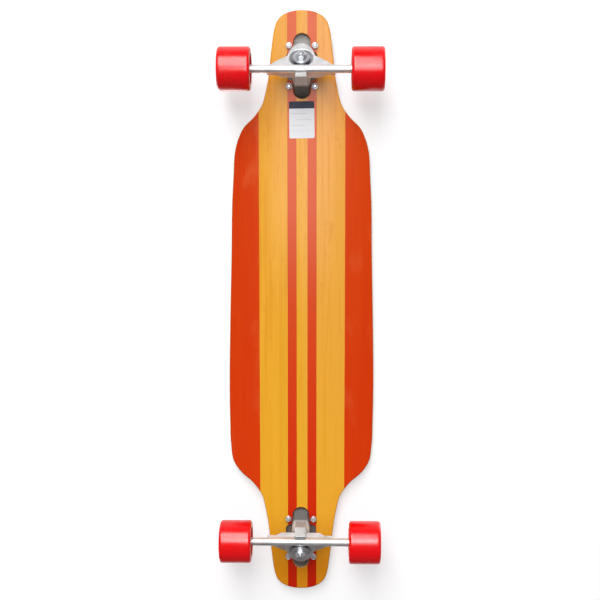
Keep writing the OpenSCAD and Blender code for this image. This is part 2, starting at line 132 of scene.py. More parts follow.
def joined(name, parts, recalculate=False):
    whole, materials = bmesh.new(), []
    for mesh in parts:
        first = len(whole.faces)
        whole.from_mesh(mesh)
        whole.faces.ensure_lookup_table()
        for material in mesh.materials:
            if material not in materials:
                materials.append(material)
        for face in whole.faces[first:]:
            face.material_index = materials.index(mesh.materials[face.material_index])
    if recalculate:
        bmesh.ops.remove_doubles(whole, verts=whole.verts, dist=1e-7)
        bmesh.ops.recalc_face_normals(whole, faces=whole.faces)
    return meshFrom(name, whole, *materials)


def prism(outline, low, high):  # an outline in mm, raised from one height to the other
    shape = bmesh.new()
    bottom = [shape.verts.new((x * mm, y * mm, low * mm)) for x, y in outline]
    side = bmesh.ops.extrude_face_region(shape, geom=[shape.faces.new(bottom)])
    bmesh.ops.translate(shape, vec=(0, 0, (high - low) * mm),
                        verts=[v for v in side["geom"] if isinstance(v, bmesh.types.BMVert)])
    bmesh.ops.recalc_face_normals(shape, faces=shape.faces)
    return shape


def wallBetween(shape, rings):  # faces from each ring of corners to the next
    around = len(rings[0])
    for lower, upper in zip(rings, rings[1:]):
        for i in range(around):
            j = (i + 1) % around
            shape.faces.new((lower[i], lower[j], upper[j], upper[i]))


def smooth(mesh, angle=32):
    mesh.shade_smooth()
    mesh.set_sharp_from_angle(angle=math.radians(angle))
    return mesh


def place(mesh, matrix):
    mesh.transform(matrix)
    return mesh


def loose(name, mesh):
    thing = bpy.data.objects.new(name, mesh)
    bpy.context.scene.collection.objects.link(thing)
    return thing


def piece(name, mesh, body, slotName, *stands, angle=32):
    thing = loose(name, smooth(mesh, angle) if angle else mesh)
    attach(thing, body)
    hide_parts(*stands)
    return thing


def finished(thing):  # the mesh that a thing's modifiers make, plain
    bpy.context.view_layer.update()
    seen = thing.evaluated_get(bpy.context.evaluated_depsgraph_get())
    mesh = bpy.data.meshes.new_from_object(seen)
    thing.modifiers.clear()
    bpy.data.objects.remove(thing)
    return mesh


def cutBy(thing, cutter, how="DIFFERENCE"):
    cut = thing.modifiers.new("cut", "BOOLEAN")
    cut.operation, cut.object, cut.solver = how, cutter, "EXACT"


def finishedWithout(thing, cutters):
    mesh = finished(thing)
    for cutter in cutters:
        bpy.data.objects.remove(cutter)
    return mesh


# Geometry Nodes: one tree each for turned parts, rings of parts, bolt patterns and threads

def newTree(name, **inputs):
    tree = bpy.data.node_groups.new(name, "GeometryNodeTree")
    tree.interface.new_socket("Geometry", in_out="INPUT", socket_type="NodeSocketGeometry")
    for label, kind in inputs.items():
        tree.interface.new_socket(label, in_out="INPUT", socket_type="NodeSocket" + kind)
    tree.interface.new_socket("Finish", in_out="INPUT", socket_type="NodeSocketMaterial")
    tree.interface.new_socket("Geometry", in_out="OUTPUT", socket_type="NodeSocketGeometry")
    return tree, add(tree, "NodeGroupInput").outputs


def closeTree(tree, source, geometry):
    real = add(tree, "GeometryNodeRealizeInstances", {"Geometry": geometry}).outputs[0]
    painted = add(tree, "GeometryNodeSetMaterial", {"Geometry": real, "Material": source["Finish"]})
    add(tree, "NodeGroupOutput", {0: painted.outputs[0]})
    return tree


def grow(name, tree, values, start=None):
    holder = loose(name, start or bpy.data.meshes.new(name))
    modifier = holder.modifiers.new("build", "NODES")
    modifier.node_group = tree
    for item in tree.interface.items_tree:
        if item.in_out == "INPUT" and item.name in values:
            modifier[item.identifier] = values[item.name]
    return finished(holder)


def makeLatheTree():  # a section in the XZ plane, turned about Z
    tree, source = newTree("turnedPart", Segments="Int")
    count = add(tree, "GeometryNodeAttributeDomainSize", {0: source["Geometry"]},
                component="MESH").outputs["Point Count"]
    rows = calc(tree, "ADD", source["Segments"], 1)
    grid = add(tree, "GeometryNodeMeshGrid", {"Vertices X": rows, "Vertices Y": count}).outputs[0]
    index = add(tree, "GeometryNodeInputIndex").outputs[0]
    row = calc(tree, "FLOOR", calc(tree, "DIVIDE", calc(tree, "ADD", index, 0.5), count))
    column = calc(tree, "SUBTRACT", index, calc(tree, "MULTIPLY", row, count))
    section = add(tree, "GeometryNodeSampleIndex", data_type="FLOAT_VECTOR", domain="POINT")
    tree.links.new(source["Geometry"], section.inputs["Geometry"])
    tree.links.new(add(tree, "GeometryNodeInputPosition").outputs[0], section.inputs["Value"])
    tree.links.new(column, section.inputs["Index"])
    parts = add(tree, "ShaderNodeSeparateXYZ", {0: section.outputs[0]}).outputs
    angle = calc(tree, "DIVIDE", calc(tree, "MULTIPLY", row, math.tau), source["Segments"])
    spot = add(tree, "ShaderNodeCombineXYZ", {
        0: calc(tree, "MULTIPLY", parts[0], calc(tree, "COSINE", angle)),
        1: calc(tree, "MULTIPLY", parts[0], calc(tree, "SINE", angle)), 2: parts[2]}).outputs[0]
    turnedShape = add(tree, "GeometryNodeSetPosition", {"Geometry": grid, "Position": spot}).outputs[0]
    closed = add(tree, "GeometryNodeMergeByDistance", {"Geometry": turnedShape, "Distance": 1e-6})
    return closeTree(tree, source, closed.outputs[0])


def copiesOn(tree, source, points, angle):  # the item on each point, turned about Z
    item = add(tree, "GeometryNodeObjectInfo", {"Object": source["Item"]}).outputs["Geometry"]
    turn = add(tree, "ShaderNodeCombineXYZ", {2: angle}).outputs[0]
    copies = add(tree, "GeometryNodeInstanceOnPoints",
                 {"Points": points, "Instance": item, "Rotation": turn}).outputs[0]
    return closeTree(tree, source, copies)


def makeRingTree():  # an item repeated round Z
    tree, source = newTree("ringOfParts", Item="Object", Count="Int", Radius="Float")
    ring = add(tree, "GeometryNodeMeshCircle",
               {"Vertices": source["Count"], "Radius": source["Radius"]}).outputs[0]
    index = add(tree, "GeometryNodeInputIndex").outputs[0]
    angle = calc(tree, "DIVIDE", calc(tree, "MULTIPLY", index, math.tau), source["Count"])
    return copiesOn(tree, source, ring, angle)


def makePatternTree():  # an item on the corners of a rectangle, each turned a little by a fixed seed
    tree, source = newTree("boltPattern", Item="Object", Across="Float", Along="Float",
                           Turn="Float", Seed="Int")
    grid = add(tree, "GeometryNodeMeshGrid", {"Size X": source["Across"], "Size Y": source["Along"],
                                              "Vertices X": 2, "Vertices Y": 2}).outputs[0]
    chance = add(tree, "FunctionNodeRandomValue", {"Min": 0.0}, data_type="FLOAT")
    tree.links.new(source["Turn"], [s for s in chance.inputs if s.name == "Max" and s.type == "VALUE"][0])
    tree.links.new(source["Seed"], chance.inputs["Seed"])
    return copiesOn(tree, source, grid, [s for s in chance.outputs if s.type == "VALUE"][0])


def makeThreadTree():  # a fine ridge that winds up Z
    tree, source = newTree("screwThread", Radius="Float", Length="Float", Turns="Float", Ridge="Float")
    coil = add(tree, "GeometryNodeCurveSpiral", {
        "Resolution": 20, "Rotations": source["Turns"], "Start Radius": source["Radius"],
        "End Radius": source["Radius"], "Height": source["Length"]}).outputs[0]
    ridge = add(tree, "GeometryNodeCurvePrimitiveCircle",
                {"Resolution": 5, "Radius": source["Ridge"]}).outputs[0]
    body = add(tree, "GeometryNodeCurveToMesh",
               {"Curve": coil, "Profile Curve": ridge, "Fill Caps": True}).outputs[0]
    return closeTree(tree, source, body)


latheTree, ringTree, patternTree, threadTree = (makeLatheTree(), makeRingTree(), makePatternTree(),
                                                makeThreadTree())


def softened(points):  # a closed section in mm as (radius, height, corner); corners rounded
    steps, mostOfSide = 4, 0.48
    result = []
    for i, (r, h, corner) in enumerate(points):
        here, before = Vector((r, h)), Vector(points[i - 1][:2])
        after = Vector(points[(i + 1) % len(points)][:2])
        if corner == 0:
            result.append(here)
            continue
        back, on = before - here, after - here
        start = here + back.normalized() * min(corner, back.length * mostOfSide)
        end = here + on.normalized() * min(corner, on.length * mostOfSide)
        for k in range(steps + 1):
            t = k / steps
            result.append(start * (1 - t) ** 2 + here * 2 * t * (1 - t) + end * t ** 2)
    return result


def mirrored(section, middle=0):  # the other half of a section that is alike on both sides of a height
    return [(r, 2 * middle - h, corner) for r, h, corner in reversed(section)]


def turnedPart(name, points, material, segments=64, closed=True):
    line = softened(points)
    if closed:
        line = line + line[:1]
    profile = bpy.data.meshes.new(name + "Section")
    profile.from_pydata([(p[0] * mm, 0, p[1] * mm) for p in line],
                        [(i, i + 1) for i in range(len(line) - 1)], [])
    mesh = grow(name, latheTree, {"Segments": segments, "Finish": material}, profile)
    return joined(name, [mesh], recalculate=True)


def repeated(name, tree, item, material, **values):
    master = loose(name + "Item", item)
    mesh = grow(name, tree, {"Item": master, "Finish": material, **values})
    bpy.data.objects.remove(master)
    return mesh


def ringOf(name, item, count, radius, material):
    return repeated(name, ringTree, item, material, Count=count, Radius=radius * mm)


def onPattern(name, item, material, turn, seed):
    return repeated(name, patternTree, item, material, Across=truck["boltAcross"] * mm,
                    Along=truck["boltAlong"] * mm, Turn=turn, Seed=seed)


def thread(name, radius, length, pitch, material, start):
    ridgeShare = 0.42  # of the pitch
    mesh = grow(name, threadTree, {"Radius": radius * mm, "Length": length * mm,
                                   "Turns": length / pitch, "Ridge": pitch * ridgeShare * mm,
                                   "Finish": material})
    return place(mesh, Matrix.Translation((0, 0, start * mm)))


def hexPart(name, flats, low, high, hole, material, crown):
    edge = {"clear": 0.02, "chamfer": 0.96, "slope": 0.55, "bevelFrom": 28}
    lead = {"wide": 1.4, "deep": 0.4, "past": 1}
    corner = flats / math.sqrt(3)
    corners = [(corner * math.cos(a), corner * math.sin(a))
               for a in (math.radians(60 * k) for k in range(6))]
    thing = loose(name, meshFrom(name, prism(corners, low, high), material))
    reach = corner + edge["clear"]
    chamfer = flats / 2 * edge["chamfer"]
    rise = (reach - chamfer) * edge["slope"]
    cutters = [loose(name + "Keep", turnedPart(name + "Keep", [
        (0, low, 0), (chamfer, low, 0), (reach, low + rise, 0), (reach, high - rise, 0),
        (chamfer, high, 0), (0, high, 0)], material, 48, closed=False))]
    cutBy(thing, cutters[0], "INTERSECT")
    if hole:
        mouth = hole + lead["wide"]
        cutters.append(loose(name + "Bore", turnedPart(name + "Bore", [
            (0, low - lead["past"], 0), (mouth, low - lead["past"], 0), (hole, low + lead["deep"], 0),
            (hole, high - lead["deep"], 0), (mouth, high + lead["past"], 0), (0, high + lead["past"], 0)],
            material, 40, closed=False)))
        cutBy(thing, cutters[1])
    soft = thing.modifiers.new("edges", "BEVEL")
    soft.width, soft.segments, soft.limit_method = crown * mm, 2, "ANGLE"
    soft.angle_limit = math.radians(edge["bevelFrom"])
    return joined(name, [finishedWithout(thing, cutters)])


# Materials

def makeMaple(name, stained):
    wax = {"Roughness": 0.4, "Specular_IOR_Level": 0.03, "Coat_Weight": 0.3, "Coat_Roughness": 0.22,
           "Coat_IOR": 1.5}
    # painted light: the tail tones here and in stain are lighter, to make up for the nose lamp's falloff
    # toward the tail
    bare = {"light": tone(243, 172, 54), "deep": tone(234, 158, 38), "rightSide": tone(240, 166, 84),
            "streak": tone(222, 128, 20), "figure": tone(214, 126, 34), "fine": tone(216, 126, 26),
            "tailPaintedLight": tone(253, 186, 42), "tailTipShade": tone(222, 184, 60)}
    # painted haze: the nose ribbon tone is paler, standing in for a veil of reflection near the nose
    stain = {"light": tone(220, 70, 3), "deep": tone(214, 56, 2), "blotch": tone(226, 104, 52),
             "fine": tone(178, 38, 4), "tailPaintedLight": tone(232, 60, 2), "noseRibbonHaze": tone(222, 92, 34),
             "tailRibbon": tone(224, 44, 2)}
    ribbons = {"inner": 8.7 * mm, "outer": 23.4 * mm, "edge": 69.0 * mm, "drift": 0.0026,
               "straightAt": 0.43, "wander": 0.0005, "innerOnly": 0.6}
    fade = {"aftFrom": 0.3, "aftTo": -0.34, "tipTo": -0.43, "tipDark": 0.8, "rightFrom": 0.004,
            "rightTo": -0.012, "rightPale": 0.5, "aftBare": 0.75, "aftStain": 0.7}
    material, tree, shader = newMaterial(name, **wax)
    x, y = coordinates(tree, objectPlace(tree))[:2]  # clouds: cells to a metre, so few along the grain
    broad = cloud(tree, (38, 2.1, 20), 3, 0.5, twist=0.8)
    streak = cloud(tree, (170, 4.2, 60), 3, 0.55, twist=0.5)
    fine = cloud(tree, (900, 16, 200), 2, 0.5)
    blotch = cloud(tree, (26, 11, 20), 3, 0.5)
    figure = cloud(tree, (120, 22, 40), 4, 0.6, twist=1.6)
    # painted light: a mask from nose to tail that lightens the colours toward the tail
    tailPaintedLight = spread(tree, y, fade["aftFrom"], fade["aftTo"])
    # painted shade: the tail tip darkened, for the rear truck's shadow and the light's falloff there
    tip = spread(tree, y, fade["aftTo"], fade["tipTo"], 0, fade["tipDark"])
    wood = laidOver(tree, bare["light"], bare["deep"], broad, 0.35, 0.68)
    wood = laidOver(tree, wood, bare["rightSide"], x, fade["rightFrom"], fade["rightTo"], fade["rightPale"])
    wood = laidOver(tree, wood, bare["streak"], streak, 0.53, 0.7, 0.62)
    wood = laidOver(tree, wood, bare["figure"], figure, 0.58, 0.7, 0.4)
    wood = laidOver(tree, wood, bare["fine"], fine, 0.5, 0.8, 0.3)
    # painted light on the bare wood toward the tail
    wood = blendColour(tree, calc(tree, "MULTIPLY", tailPaintedLight, fade["aftBare"]), wood, bare["tailPaintedLight"])
    if stained:
        slide = calc(tree, "MULTIPLY", calc(tree, "SUBTRACT", y, ribbons["straightAt"]), ribbons["drift"])
        wander = calc(tree, "MULTIPLY", calc(tree, "SUBTRACT", cloud(tree, (60, 9, 60), 2), 0.5),
                      ribbons["wander"])
        across = calc(tree, "ABSOLUTE", calc(tree, "SUBTRACT", x, slide))
        across = calc(tree, "ADD", across, wander)
        band = calc(tree, "MAXIMUM", between(tree, across, ribbons["inner"], ribbons["outer"]),
                    calc(tree, "GREATER_THAN", across, ribbons["edge"]))
        red = laidOver(tree, stain["light"], stain["deep"], broad, 0.34, 0.68)
        red = laidOver(tree, red, stain["blotch"], blotch, 0.54, 0.74, 0.65)
        red = laidOver(tree, red, stain["fine"], fine, 0.5, 0.8, 0.3)
        # painted light on the stain toward the tail
        red = blendColour(tree, calc(tree, "MULTIPLY", tailPaintedLight, fade["aftStain"]), red, stain["tailPaintedLight"])
        # painted haze: ribbons paler toward the nose and deeper toward the tail
        ribbon = blendColour(tree, tailPaintedLight, stain["noseRibbonHaze"], stain["tailRibbon"])
        isRibbon = calc(tree, "LESS_THAN", across, ribbons["edge"] * ribbons["innerOnly"])
        wood = blendColour(tree, band, wood, blendColour(tree, isRibbon, red, ribbon))
    # painted shade multiplied onto the tail tip
    wood = blendColour(tree, tip, wood, bare["tailTipShade"], how="MULTIPLY")
    wire(tree, shader, Base_Color=wood, Roughness=spread(tree, blotch, 0.3, 0.7, 0.32, 0.46))
    bump(tree, shader, calc(tree, "ADD", streak, calc(tree, "MULTIPLY", fine, 0.5)), 0.00008, 0.4)
    return material


def makePly():
    ply = {"long": tone(238, 214, 176), "cross": tone(222, 190, 146), "fibre": tone(176, 132, 88),
           "glue": tone(110, 72, 44), "glueLine": 0.06, "glueDark": 0.7}
    material, tree, shader = newMaterial("plyEdge", Roughness=0.55)
    x, _, z = coordinates(tree, objectPlace(tree))
    beyond = calc(tree, "MAXIMUM", calc(tree, "SUBTRACT", calc(tree, "ABSOLUTE", x),
                                        deck["flatHalf"] * mm), 0)
    share = calc(tree, "DIVIDE", beyond, (deck["halfWidth"] - deck["flatHalf"]) * mm)
    lift = calc(tree, "MULTIPLY", calc(tree, "POWER", share, 2), deck["rise"] * mm)
    above = calc(tree, "SUBTRACT", calc(tree, "SUBTRACT", z, lift), deck["bottom"] * mm)
    depth = calc(tree, "DIVIDE", above, deck["thick"] / deck["plies"] * mm)  # counted in plies
    cross = calc(tree, "GREATER_THAN", calc(tree, "MODULO", calc(tree, "FLOOR", depth), 2), 0.5)
    fibre = cloud(tree, (300, 300, 1600), 3, 0.6)
    wood = blendColour(tree, cross, ply["long"], ply["cross"])
    wood = laidOver(tree, wood, ply["fibre"], fibre, 0.35, 0.7, 0.45)
    glue = calc(tree, "LESS_THAN", calc(tree, "FRACT", depth), ply["glueLine"])
    wood = blendColour(tree, calc(tree, "MULTIPLY", glue, ply["glueDark"]), wood, ply["glue"])
    wire(tree, shader, Base_Color=wood)
    bump(tree, shader, fibre, 0.0001, 0.6)
    return material


def makeMetal(name, colour, rough, grit, depth, grain=(900, 900, 900), metallic=1.0, paintedShadeFrom=None):
    # painted shade: the skin colour is the dark grey of the plate where the deck's slot shades it
    skin = {"colour": tone(96, 92, 88), "fade": 3 * mm, "cover": 0.85}
    dullShare = 0.78
    material, tree, shader = newMaterial(name, Metallic=metallic)
    speckle = cloud(tree, grain, 3, 0.6)
    smear = cloud(tree, (60, 60, 60), 3, 0.5)
    dull = tuple(c * dullShare for c in colour[:3]) + (1,)
    surface = laidOver(tree, colour, dull, smear, 0.35, 0.7)
    if paintedShadeFrom:  # painted shade: darker from this height up, where the deck's slot shades the plate
        height = coordinates(tree, objectPlace(tree))[2]
        surface = laidOver(tree, surface, skin["colour"], height, paintedShadeFrom, paintedShadeFrom + skin["fade"],
                           skin["cover"])
    wire(tree, shader, Base_Color=surface, Roughness=spread(tree, speckle, 0.3, 0.7, *rough))
    bump(tree, shader, speckle, depth, grit)
    return material


def makeMould(name, light, dark, rough, depth, **sockets):
    material, tree, shader = newMaterial(name, **sockets)
    speckle = cloud(tree, (700, 700, 700), 3, 0.6)
    smear = cloud(tree, (45, 45, 45), 3, 0.5)
    wire(tree, shader, Base_Color=laidOver(tree, light, dark, smear, 0.35, 0.7),
         Roughness=spread(tree, speckle, 0.3, 0.7, *rough))
    bump(tree, shader, speckle, depth, 0.6)
    return material


def makeGrit():
    grit = {"grain": tone(62, 61, 62), "between": tone(22, 22, 24), "spark": tone(150, 148, 150),
            "perMetre": 1700.0}
    material, tree, shader = newMaterial("gripGrit", Roughness=0.9)
    grains = add(tree, "ShaderNodeTexVoronoi",
                 {"Vector": objectPlace(tree), "Scale": grit["perMetre"]}).outputs["Distance"]
    shine = cloud(tree, (2400, 2400, 2400), 2)
    base = laidOver(tree, grit["grain"], grit["between"], grains, 0.1, 0.6)
    base = laidOver(tree, base, grit["spark"], shine, 0.66, 0.72, 0.5)
    wire(tree, shader, Base_Color=base, Roughness=spread(tree, shine, 0.4, 0.8, 0.95, 0.5))
    bump(tree, shader, grains, 0.0003, 0.9)
    return material


def makePaper():  # shares of the label's width and length: low, high, left, right
    printed = {"header": 0.8, "ink": 0.35, "bars": ((0.66, 0.675, 0.1, 0.7), (0.5, 0.512, 0.3, 0.9),
                                                    (0.34, 0.352, 0.1, 0.62), (0.2, 0.208, 0.12, 0.86))}
    material, tree, shader = newMaterial("labelPaper", Roughness=0.55, Specular_IOR_Level=0.3)
    across, along = coordinates(tree, add(tree, "ShaderNodeTexCoord").outputs["UV"])[:2]
    marks = 0
    for low, high, left, right in printed["bars"]:
        bar = calc(tree, "MULTIPLY", between(tree, across, left, right), between(tree, along, low, high))
        marks = calc(tree, "MAXIMUM", marks, bar)
    fibre = cloud(tree, (900, 900, 900), 3)
    paper = laidOver(tree, tone(242, 243, 246), tone(228, 230, 235), fibre, 0.3, 0.7)
    paper = blendColour(tree, calc(tree, "MULTIPLY", marks, printed["ink"]), paper, tone(120, 122, 132))
    header = calc(tree, "GREATER_THAN", along, printed["header"])
    wire(tree, shader, Base_Color=blendColour(tree, header, paper, tone(38, 44, 66)))
    bump(tree, shader, fibre, 0.00004, 0.5)
    return material


def makeTyreRubber():  # ground riding surface: fine rings round the axle
    urethane = {"Roughness": 0.26, "Specular_IOR_Level": 0.6, "Subsurface_Weight": 0.05,
                "Subsurface_Scale": 0.003, "Subsurface_Radius": (1.0, 0.1, 0.1)}
    material, tree, shader = newMaterial("redUrethane", **urethane)
    rings = cloud(tree, (1600, 12, 12), 2, 0.5)
    smear = cloud(tree, (40, 40, 40), 4, 0.6)
    wire(tree, shader, Base_Color=laidOver(tree, tone(255, 2, 12), tone(246, 0, 6), smear, 0.35, 0.7),
         Roughness=spread(tree, smear, 0.35, 0.7, 0.2, 0.3))
    bump(tree, shader, rings, 0.00004, 0.4)
    return material


deck = {"flatHalf": 33, "rise": 9, "halfWidth": 118, "bottom": 88, "thick": 11, "plies": 8,
        "edgeRound": 2.6, "cutRound": 1.0, "columns": 28, "arcSteps": 6, "splits": 2}
truck = {"boltAcross": 41.3, "boltAlong": 63.5, "patternY": 383, "ringY": 0.178, "ringZ": 52.984,
         "lean": 40, "axleInset": 10, "axleZ": 34}

finish = {
    "under": makeMaple("stainedMaple", True), "top": makeMaple("plainMaple", False), "ply": makePly(),
    "grit": makeGrit(), "paper": makePaper(), "tyre": makeTyreRubber(),
    "cast": makeMetal("castAluminium", tone(252, 252, 254), rough=(0.4, 0.54), grit=0.5, depth=0.00012,
                      grain=(420, 420, 420), metallic=0.85),
    "plate": makeMetal("castPlate", tone(226, 225, 223), rough=(0.4, 0.55), grit=0.6, depth=0.00014,
                       # the plate gets painted shade from inside the deck's slot upward
                       grain=(420, 420, 420), metallic=0.45, paintedShadeFrom=74.5 * mm),
    "steel": makeMetal("groundSteel", tone(222, 222, 223), rough=(0.24, 0.38), grit=0.4, depth=0.00004,
                       grain=(300, 2400, 2400), metallic=0.6),
    "zinc": makeMetal("brightZinc", tone(222, 225, 230), rough=(0.26, 0.4), grit=0.4, depth=0.00004,
                      metallic=0.75),
    "shield": makeMetal("pressedSteel", tone(172, 174, 178), rough=(0.2, 0.34), grit=0.4, depth=0.00003),
    "race": makeMetal("bearingSteel", tone(210, 210, 213), rough=(0.08, 0.18), grit=0.3, depth=0.00002),
    "spacer": makeMetal("turnedAluminium", tone(198, 198, 201), rough=(0.22, 0.34), grit=0.4,
                        depth=0.00003),
    "core": makeMould("mouldedNylon", tone(236, 234, 228), tone(222, 219, 212), (0.38, 0.5), 0.00004),
    "cup": makeMould("blackUrethane", tone(34, 34, 35), tone(22, 22, 23), (0.42, 0.6), 0.00005),
    "bushing": makeMould("darkBushing", tone(40, 42, 62), tone(26, 28, 44), (0.3, 0.45), 0.00005,
                         Subsurface_Weight=0.05, Subsurface_Scale=0.003),
    "insert": makeMould("nylonInsert", tone(225, 228, 232), tone(205, 208, 214), (0.35, 0.5), 0.00003),
}
print("materials made:", len(finish))


# Deck, grip and label

def liftAt(x):
    beyond = max(abs(x) - deck["flatHalf"] * mm, 0) / ((deck["halfWidth"] - deck["flatHalf"]) * mm)
    return deck["rise"] * mm * beyond ** 2


def readOutline():  # the right half of the deck's edge, nose to tail, from the frame's upright edges
    mesh, found = cadNodes["deck"].data, {}
    tall, openings = 0.008, {"across": 0.04, "along": 0.44}  # metres; the openings lie within both
    for edge in mesh.edges:
        a, b = (mesh.vertices[i].co for i in edge.vertices)
        if (a.xy - b.xy).length < 1e-5 and abs(a.z - b.z) > tall and a.x > -1e-6:
            if a.x > openings["across"] or abs(a.y) > openings["along"]:
                found[round(a.y, 5)] = Vector((a.x, a.y))
    return [found[y] for y in sorted(found, reverse=True)]


def refined(points, splits):  # a smooth line through the points, square to the middle at both ends
    flip = [Vector((-points[1].x, points[1].y)), *points, Vector((-points[-2].x, points[-2].y))]
    result = []
    for i in range(1, len(flip) - 2):
        p0, p1, p2, p3 = flip[i - 1:i + 3]
        t1 = (p2 - p0) * ((p2 - p1).length / ((p2 - p1).length + (p1 - p0).length))
        t2 = (p3 - p1) * ((p2 - p1).length / ((p3 - p2).length + (p2 - p1).length))
        for k in range(splits):
            t = k / splits
            result.append(p1 * (2 * t ** 3 - 3 * t ** 2 + 1) + t1 * (t ** 3 - 2 * t ** 2 + t)
                          + p2 * (3 * t ** 2 - 2 * t ** 3) + t2 * (t ** 3 - t ** 2))
    return result + [points[-1]]


def quarter(steps):  # the angles of a quarter turn
    return [math.radians(90 * k / steps) for k in range(steps + 1)]


def board(name, edge, inset, low, thick, corner, materials):
    shape = bmesh.new()
    normals = []
    for i, p in enumerate(edge):
        before = edge[i - 1] if i else Vector((-edge[1].x, edge[1].y))
        after = edge[i + 1] if i < len(edge) - 1 else Vector((-edge[-2].x, edge[-2].y))
        along = (after - before).normalized()
        normals.append(Vector((-along.y, along.x)))
    levels = [(inset + corner * (1 - math.sin(a)), corner * (1 - math.cos(a)))
              for a in quarter(deck["arcSteps"])]
    levels += [(level[0], thick - level[1]) for level in reversed(levels)]
    rings = []
    for inward, height in levels:
        right = [p - n * inward * mm for p, n in zip(edge, normals)]
        loop = [Vector((p.x, p.y)) for p in right] + [Vector((-p.x, p.y)) for p in reversed(right[1:-1])]
        rings.append([shape.verts.new((p.x, p.y, (low + height) * mm + liftAt(p.x))) for p in loop])
    wallBetween(shape, rings)
    around, columns, last = len(rings[0]), deck["columns"], len(edge) - 1
    for ring, height in ((rings[0], 0), (rings[-1], thick)):
        rows = [[ring[0]]]
        for i in range(1, last):
            right, left = ring[i], ring[around - i]
            row = [left]
            for k in range(1, columns):
                x = left.co.x + (right.co.x - left.co.x) * k / columns
                row.append(shape.verts.new((x, right.co.y, (low + height) * mm + liftAt(x))))
            rows.append(row + [right])
        rows.append([ring[last]])
        for upper, lower in zip(rows, rows[1:]):
            for k in range(columns):
                if len(upper) == 1:
                    shape.faces.new((upper[0], lower[k], lower[k + 1]))
                elif len(lower) == 1:
                    shape.faces.new((upper[k], lower[0], upper[k + 1]))
                else:
                    shape.faces.new((upper[k], lower[k], lower[k + 1], upper[k + 1]))
    bmesh.ops.recalc_face_normals(shape, faces=shape.faces)
    return meshFrom(name, shape, *materials)


def roundedLoop(width, low, high, corner, swell, steps):
    half, corner = width / 2 + swell, corner + swell
    low, high = low - swell, high + swell
    corner = min(corner, half, (high - low) / 2)
    loop = []
    for cx, cy, start in ((half - corner, high - corner, 0), (corner - half, high - corner, 90),
                          (corner - half, low + corner, 180), (half - corner, low + corner, 270)):
        for k in range(steps + 1):
            a = math.radians(start + 90 * k / steps)
            point = (cx + corner * math.cos(a), cy + corner * math.sin(a))
            if not loop or math.dist(point, loop[-1]) > 1e-6:
                loop.append(point)
    return loop if math.dist(loop[0], loop[-1]) > 1e-6 else loop[:-1]


cutterPast = 2  # mm that a cutter runs on below and above


def openingCutter(name, opening, bottom, top, flare, turn, material, steps=12):
    width, low, high, corner = opening
    flareSteps = 4
    if flare:
        heights = [(flare, bottom - cutterPast)]
        heights += [(flare * (1 - math.sin(a)), bottom + flare * (1 - math.cos(a)))
                    for a in quarter(flareSteps)]
        heights += [(swell, bottom + top - h) for swell, h in reversed(heights)]
    else:
        heights = [(0, bottom - cutterPast), (0, top + cutterPast)]
    shape = bmesh.new()
    rings = [[shape.verts.new((x * mm, y * mm, h * mm))
              for x, y in roundedLoop(width, low, high, corner, swell, steps)] for swell, h in heights]
    wallBetween(shape, rings)
    shape.faces.new(rings[0])
    shape.faces.new(rings[-1])
    bmesh.ops.recalc_face_normals(shape, faces=shape.faces)
    return loose(name, place(meshFrom(name, shape, material), turn))


def carve(thing, cutters):
    for cutter in cutters:
        cutBy(thing, cutter)
    return finishedWithout(thing, cutters)


def paintByFacing(mesh, steep=0.6):  # underside, top face or cut edge
    for polygon in mesh.polygons:
        up = polygon.normal.z
        polygon.material_index = 0 if up < -steep else 1 if up > steep else 2


edgeLine = refined(readOutline(), deck["splits"])
print("edge points:", len(edgeLine), "half width", round(max(p.x for p in edgeLine), 4))
ends = {"front": Matrix.Translation((0, truck["patternY"] * mm, 0)),
        "rear": Matrix.Rotation(math.pi, 4, "Z") @ Matrix.Translation((0, truck["patternY"] * mm, 0))}


def deckCutters():
    opening = {"slotWidth": 27, "slotHalf": 51, "windowWidth": 49, "windowHalf": 22, "windowCorner": 8,
               "boltHole": 5.4, "boltRound": 0.3}
    bottom, top, flare = deck["bottom"], deck["bottom"] + deck["thick"], deck["cutRound"]
    slot = (opening["slotWidth"], -opening["slotHalf"], opening["slotHalf"], opening["slotWidth"] / 2)
    window = (opening["windowWidth"], -opening["windowHalf"], opening["windowHalf"],
              opening["windowCorner"])
    radius = opening["boltHole"] / 2
    hole = (opening["boltHole"], -radius, radius, radius)
    cutters = []
    for end, turn in ends.items():
        for label, sizes in (("Slot", slot), ("Window", window)):
            cutters.append(openingCutter(end + label, sizes, bottom, top, flare, turn, finish["ply"]))
        for x in (-1, 1):
            for y in (-1, 1):
                at = turn @ Matrix.Translation((x * truck["boltAcross"] / 2 * mm,
                                                y * truck["boltAlong"] / 2 * mm, 0))
                cutters.append(openingCutter(end + "Bolt", hole, bottom, top, opening["boltRound"], at,
                                             finish["ply"], 8))
    return cutters


def buildDeck():
    blank = loose("deckBlank", board("deckBlank", edgeLine, 0, deck["bottom"], deck["thick"],
                                     deck["edgeRound"], [finish["under"], finish["top"], finish["ply"]]))
    mesh = carve(blank, deckCutters())
    paintByFacing(mesh)
    thing = loose("deckShade", smooth(mesh, 30))
    weigh = thing.modifiers.new("weigh", "WEIGHTED_NORMAL")
    weigh.keep_sharp = True
    piece("deckBoard", finished(thing), "deck_body", "maple", "deck", angle=None)


def buildGrip():
    grip = {"inset": 1.5, "thick": 1.0, "corner": 0.3, "gap": 1.5, "plateHalf": 28.5, "inboard": 62,
            "outboard": 55, "plateCorner": 9}
    low = deck["bottom"] + deck["thick"]
    sheet = loose("gripBlank", board("gripBlank", edgeLine, grip["inset"], low, grip["thick"],
                                     grip["corner"], [finish["grit"]]))
    plate = (2 * (grip["plateHalf"] + grip["gap"]), -grip["inboard"] - grip["gap"],
             grip["outboard"] + grip["gap"], grip["plateCorner"] + grip["gap"])
    cutters = [openingCutter(end + "Plate", plate, low, low + grip["thick"], 0, turn, finish["grit"])
               for end, turn in ends.items()]
    piece("gripSheet", joined("gripSheet", [carve(sheet, cutters)]), "deck_body", "grip", "grip_tape")


